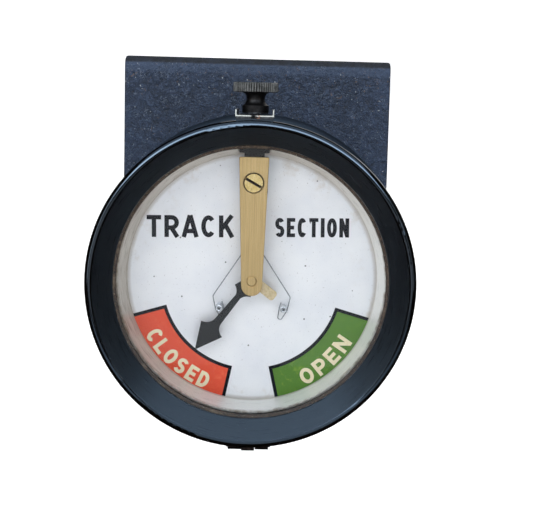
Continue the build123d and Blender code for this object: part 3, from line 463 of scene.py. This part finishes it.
NODE_LOOKS = {
    "case": ["case_shell", "back_plate"],
    "drum": ["drum", "drum_rivets"],
    "hinge": ["hinge_leaf_fixed", "hinge_leaf_moving", "hinge_pin"],
    "bezel": ["bezel_ring"],
    "worn_steel": ["bezel_hasp", "hasp_rivets", "thumbscrew_boss", "thumbscrew_washer"],
    "silver": ["stop_posts"],
    "steel": [
        "glass_clip_ring", "back_screws", "fixing_studs", "movement_plate", "movement_screws",
        "dial_screws", "bracket_screws",
    ],
    "knurled": ["thumbscrew"],
    "glass": ["glass"],
    "putty": ["glass_putty"],
    "brass": [
        "corner_blocks", "case_pillars", "dial_pillars", "magnet_spacers", "terminal_studs",
        "terminal_washers", "terminal_nuts", "spring_anchor", "rear_bearing", "collet",
        "pointer_nut", "balance_arm",
    ],
    "bridge": ["bridge", "front_bearing"],
    "screw_brass": ["bridge_screw"],
    "pale_brass": ["counterweight"],
    "ebonite": ["bobbin_left", "bobbin_right", "cable_bush", "terminal_block"],
    "winding": ["winding_left", "winding_right"],
    "iron": ["coil_cores", "yoke", "pole_shoe_left", "pole_shoe_right", "armature"],
    "dial": ["dial_plate"],
    "wall": ["reflector_ring"],
    "wire": ["stop_spring_left", "stop_spring_right", "spindle"],
    "pointer": ["pointer", "bridge_bracket"],
}
for look_name, members in NODE_LOOKS.items():
    for member in members:
        mesh = NODES[member].data
        mesh.materials.clear()
        mesh.materials.append(LOOKS[look_name])


# ---------------------------------------------------------------- painted dial
def dial_point(x, z, lift):
    """A point on the dial, in millimetres right of and above its axis, lifted off its face."""
    return (x * MM, DIAL_Y - lift * MM, AXIS_Z + z * MM)


def flat_piece(name, points, faces, look, body="case"):
    """A sheet of paint that rides on a body."""
    mesh = bpy.data.meshes.new(name)
    mesh.from_pydata(points, [], faces)
    mesh.validate()
    piece = bpy.data.objects.new(name, mesh)
    bpy.context.scene.collection.objects.link(piece)
    mesh.materials.append(LOOKS[look])
    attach(piece, body)
    return piece


# In millimetres from the dial axis: the sectors' own centre, and radii.
SECTOR_CENTRE = (-0.3, -1.9)
SECTOR_INNER, OUTLINE = 42.2, 1.6
SECTOR_OUTER = WALL_FOOT / MM - 0.03  # round the dial axis, just inside the wall


def sector(name, start, end, inset, lift, look):
    """A field of the dial between two angles from straight down, positive to the right."""
    rows, columns = 10, 72
    points, faces = [], []
    inner = SECTOR_INNER + inset
    centre_sq = SECTOR_CENTRE[0] ** 2 + SECTOR_CENTRE[1] ** 2
    for i in range(rows + 1):
        for j in range(columns + 1):
            share = j / columns
            angle = math.radians(start + (end - start) * share)
            direction = (math.sin(angle), -math.cos(angle))
            along = SECTOR_CENTRE[0] * direction[0] + SECTOR_CENTRE[1] * direction[1]
            outer = -along + math.sqrt(along**2 - centre_sq + SECTOR_OUTER**2)
            reach = inner + (outer - inner) * i / rows
            angle += math.asin(inset / reach) * (1 - 2 * share)
            x = SECTOR_CENTRE[0] + reach * math.sin(angle)
            z = SECTOR_CENTRE[1] - reach * math.cos(angle)
            points.append(dial_point(x, z, lift))
    for i in range(rows):
        for j in range(columns):
            a = i * (columns + 1) + j
            faces.append((a, a + 1, a + columns + 2, a + columns + 1))
    return flat_piece(name, points, faces, look)


sector("outline_left", -73.5, -11.5, 0.0, 0.015, "black")
sector("field_left", -73.5, -11.5, OUTLINE, 0.03, "red")
sector("outline_right", 12.5, 74.0, 0.0, 0.015, "black")
sector("field_right", 12.5, 74.0, OUTLINE, 0.03, "green")


def bend(cx, cy, rx, ry, start, end, count=14):
    """Points along an elliptical arc, in degrees."""
    turns = [math.radians(start + (end - start) * i / count) for i in range(count + 1)]
    return [(cx + rx * math.cos(t), cy + ry * math.sin(t)) for t in turns]


def glyph(letter, width, pen):
    """Centre lines of a plain block letter one unit high, for a pen of that width."""
    half, w = pen / 2, width
    stem = [(half, 0), (half, 1)]
    if letter == "A":
        left = [(half * 0.7, 0), (w / 2 - half * 0.1, 1)]
        right = [(w - half * 0.7, 0), (w / 2 + half * 0.1, 1)]
        return [left, right, [(w * 0.22, 0.28), (w * 0.78, 0.28)]]
    if letter == "C":
        return [bend(w / 2, 0.5, w / 2 - half, 0.5 - half, 42, 318, 28)]
    if letter == "D":
        rx = (w - pen) * 0.62
        bowl = bend(w - half - rx, 0.5, rx, 0.5 - half, 90, -90)
        return [stem, [(half, 1 - half), *bowl, (half, half)]]
    if letter == "E":
        bars = ((1 - half, w), (0.5, w * 0.88), (half, w))
        return [stem, *([(half, rise), (end, rise)] for rise, end in bars)]
    if letter == "I":
        return [stem]
    if letter == "K":
        arm = [(w - half * 0.7, 1), (pen * 0.7, 0.4)]
        return [stem, arm, [(w * 0.42, 0.6), (w - half * 0.5, 0)]]
    if letter == "L":
        return [stem, [(half, half), (w, half)]]
    if letter == "N":
        slant = [(half, 1 - half * 0.5), (w - half, half * 0.5)]
        return [stem, [(w - half, 0), (w - half, 1)], slant]
    if letter == "O":
        return [bend(w / 2, 0.5, w / 2 - half, 0.5 - half, 0, 360, 36)]
    if letter in "PR":
        low = 0.43
        ry = (1 - half - low) / 2
        rx = min(ry, w - pen)
        bowl = [(half, 1 - half), *bend(w - half - rx, low + ry, rx, ry, 90, -90), (half, low)]
        leg = [(w * 0.48, low), (w - half * 0.7, 0)]
        return [stem, bowl] if letter == "P" else [stem, bowl, leg]
    if letter == "S":
        rx, ry = w / 2 - half, (1 - pen) / 4
        upper = bend(w / 2, 1 - half - ry, rx, ry, 28, 270, 20)
        lower = bend(w / 2, half + ry, rx, ry, 90, -152, 20)
        return [upper + lower[1:]]
    return [[(0, 1 - half), (w, 1 - half)], [(w / 2, 0), (w / 2, 1)]]  # T


def thicken(line, pen):
    """The two edges of a brush stroke along a line, with mitred bends that stay short."""
    closed = math.dist(line[0], line[-1]) < 1e-6
    left, right = [], []
    for i, (x, y) in enumerate(line):
        before = line[i - 1] if i else (line[-2] if closed else None)
        after = line[i + 1] if i + 1 < len(line) else (line[1] if closed else None)
        steps = []
        for a, b in ((before, (x, y)), ((x, y), after)):
            if a is not None and b is not None:
                reach = math.dist(a, b)
                steps.append(((b[0] - a[0]) / reach, (b[1] - a[1]) / reach))
        nx = -sum(s[1] for s in steps) / len(steps)
        ny = sum(s[0] for s in steps) / len(steps)
        size = nx * nx + ny * ny
        reach = pen / 2 / max(size, 0.3)
        left.append((x + nx * reach, y + ny * reach))
        right.append((x - nx * reach, y - ny * reach))
    return left, right


LETTER_WIDTH = {"N": 1.08, "O": 1.08, "L": 0.92, "E": 0.92, "A": 1.1}  # of the word's width
STROKE_STEP = 0.0015  # overlapping strokes are lifted apart by this, in millimetres


def legend(name, word, height, width, pen, put, lift, look, gap):
    """A painted word. height and pen are in millimetres, width and gap in heights.

    put(x, middle, y) places a point of a letter, whose middle is at middle, on the dial."""
    widths = [(pen / height if c == "I" else width * LETTER_WIDTH.get(c, 1.0)) for c in word]
    total = sum(widths) + gap * (len(word) - 1)
    points, faces, at = [], [], -total / 2
    stroke = 0
    for letter, w in zip(word, widths):
        for line in glyph(letter, w, pen / height):
            left, right = thicken(line, pen / height)
            rise = lift + STROKE_STEP * (stroke % 7)
            stroke += 1
            base = len(points)
            for a, b in zip(left, right):
                for px, py in (a, b):
                    x, z = put((at + px) * height, (at + w / 2) * height, py * height)
                    points.append(dial_point(x, z, rise))
            for i in range(len(left) - 1):
                a = base + 2 * i
                faces.append((a, a + 1, a + 3, a + 2))
        at += w + gap
    return flat_piece(name, points, faces, look)


def level_word(centre_x, foot, lean):
    """Letters stand on a straight line, turned by a lean in degrees."""
    cos, sin = math.cos(math.radians(lean)), math.sin(math.radians(lean))

    def put(x, _middle, y):
        return centre_x + x * cos - y * sin, foot + x * sin + y * cos

    return put


def arc_word(middle_angle, radius, height):
    """Letters stand on an arc round the sector's centre, tops towards it."""

    def put(x, middle, y):
        turn = math.radians(middle_angle) + middle / radius
        side, rise = x - middle, y - height / 2
        reach = radius - rise
        px = SECTOR_CENTRE[0] + reach * math.sin(turn) + side * math.cos(turn)
        pz = SECTOR_CENTRE[1] - reach * math.cos(turn) + side * math.sin(turn)
        return px, pz

    return put


LEGEND_R, LEGEND_HEIGHT = 53.2, 7.9
on_red, on_green = (arc_word(angle, LEGEND_R, LEGEND_HEIGHT) for angle in (-42, 44))
above_red, above_green = level_word(-29.9, 19.0, 1.0), level_word(28.2, 20.3, 1.0)
legend("title_left", "TRACK", 10.5, 0.655, 2.1, above_red, 0.03, "black", 0.145)
legend("title_right", "SECTION", 9.2, 0.47, 1.8, above_green, 0.03, "black", 0.13)
legend("legend_left", "CLOSED", LEGEND_HEIGHT, 0.66, 1.75, on_red, 0.05, "cream", 0.17)
legend("legend_right", "OPEN", LEGEND_HEIGHT, 0.76, 1.75, on_green, 0.05, "cream", 0.22)


# ---------------------------------------------------------------- stage, lights and camera
def stage_sweep():
    """A pale floor that curves up into a backdrop."""
    floor_z, back_y, bend_r, reach, height = -0.34, 1.9, 0.8, 6.0, 4.5
    bend_y, bend_z = back_y - bend_r, floor_z + bend_r
    steps = 12
    line = [(-reach, floor_z), (bend_y, floor_z)]
    for i in range(1, steps + 1):
        turn = math.pi / 2 * i / steps
        line.append((bend_y + bend_r * math.sin(turn), bend_z - bend_r * math.cos(turn)))
    line.append((back_y, height))
    points = [(side * reach, y, z) for y, z in line for side in (-1, 1)]
    faces = [(2 * i, 2 * i + 1, 2 * i + 3, 2 * i + 2) for i in range(len(line) - 1)]
    mesh = bpy.data.meshes.new("sweep")
    mesh.from_pydata(points, [], faces)
    for face in mesh.polygons:
        face.use_smooth = True
    look = Look("pale_sweep", Roughness=0.9, Specular_IOR_Level=0.1, Emission_Strength=0.62)
    look.shader.inputs["Base Color"].default_value = (0.86, 0.86, 0.86, 1)
    look.shader.inputs["Emission Color"].default_value = (1, 1, 1, 1)
    mesh.materials.append(look.material)
    sweep = bpy.data.objects.new("sweep", mesh)
    bpy.context.scene.collection.objects.link(sweep)
    sweep.visible_glossy = False


stage_sweep()


def softbox(name, place, target, size, power, color, lights_matt=True):
    """An oblong lamp that no camera sees. One that lights no matt surface is only mirrored."""
    light = bpy.data.lights.new(name, "AREA")
    light.shape = "RECTANGLE"
    light.size, light.size_y = size
    light.energy = power
    light.color = color
    lamp = bpy.data.objects.new(name, light)
    lamp.visible_camera = False
    lamp.visible_diffuse = lights_matt
    bpy.context.scene.collection.objects.link(lamp)
    lamp.location = place
    aim = Vector(target) - Vector(place)
    lamp.rotation_euler = aim.to_track_quat("-Z", "Y").to_euler()


MIDDLE = (0, -0.08, -0.02)
RIM = (0, -0.1, -0.1)
OVERHEAD, OVERHEAD_SIZE = (0.0, -0.45, 1.2), (2.8, 0.9)
softbox("overhead", OVERHEAD, MIDDLE, OVERHEAD_SIZE, 9.0, (0.7, 0.84, 1.0))
softbox("overhead_glint", OVERHEAD, MIDDLE, OVERHEAD_SIZE, 36, (0.66, 0.82, 1.0), False)
softbox("front_strip", (-0.15, -1.5, 0.95), MIDDLE, (3.0, 0.32), 8.6, (0.96, 0.97, 1.0))
softbox("glint", (-0.1, -1.45, 0.98), MIDDLE, (3.4, 0.9), 60, (0.72, 0.86, 1.0), False)
softbox("key", (-0.85, -1.15, 0.75), MIDDLE, (0.5, 0.5), 1.2, (1.0, 0.97, 0.93))
softbox("low_fill", (0.0, -1.3, -0.12), MIDDLE, (2.2, 0.5), 3.0, (0.97, 0.98, 1.0))
softbox("left_card", (-1.3, -0.95, 0.2), MIDDLE, (0.3, 1.0), 2.6, (0.95, 0.98, 1.0))
softbox("right_card", (1.3, -0.95, 0.2), MIDDLE, (0.3, 1.0), 1.0, (0.95, 0.98, 1.0))
softbox("rim_card", (0.0, -0.55, -0.33), RIM, (1.2, 0.2), 0.8, (0.75, 0.88, 1.0))
softbox("back_fill", (0.5, 1.4, 0.7), MIDDLE, (1.6, 1.2), 9, (1.0, 0.98, 0.96))

world = bpy.data.worlds.new("studio")
world.use_nodes = True
background = world.node_tree.nodes["Background"]
background.inputs["Color"].default_value = (0.9, 0.9, 0.9, 1)
background.inputs["Strength"].default_value = 1.0
bpy.context.scene.world = world
world.cycles_visibility.diffuse = False
world.cycles_visibility.glossy = False
bpy.context.scene.view_settings.view_transform = "Standard"

camera_data = bpy.data.cameras.new("camera")
camera_data.sensor_width = 36.0
camera_data.lens = 75.3
camera_data.shift_x, camera_data.shift_y = -0.075, -0.075
camera_data.clip_start, camera_data.clip_end = 0.05, 30
camera = bpy.data.objects.new("camera", camera_data)
bpy.context.scene.collection.objects.link(camera)
CAMERA_PLACE = Vector((0.01028, -0.60849, 0.06081))  # fitted to the photo's outlines
PITCH, YAW, ROLL = math.radians(-6.473), math.radians(1.622), math.radians(1.567)
forward = Vector(
    (math.sin(YAW) * math.cos(PITCH), math.cos(YAW) * math.cos(PITCH), math.sin(PITCH))
)
right = forward.cross(Vector((0, 0, 1))).normalized()
upward = right.cross(forward)
right, upward = (
    right * math.cos(ROLL) + upward * math.sin(ROLL),
    upward * math.cos(ROLL) - right * math.sin(ROLL),
)
turn = Matrix((right, upward, -forward)).transposed().to_4x4()
camera.matrix_world = Matrix.Translation(CAMERA_PLACE) @ turn
bpy.context.scene.camera = camera
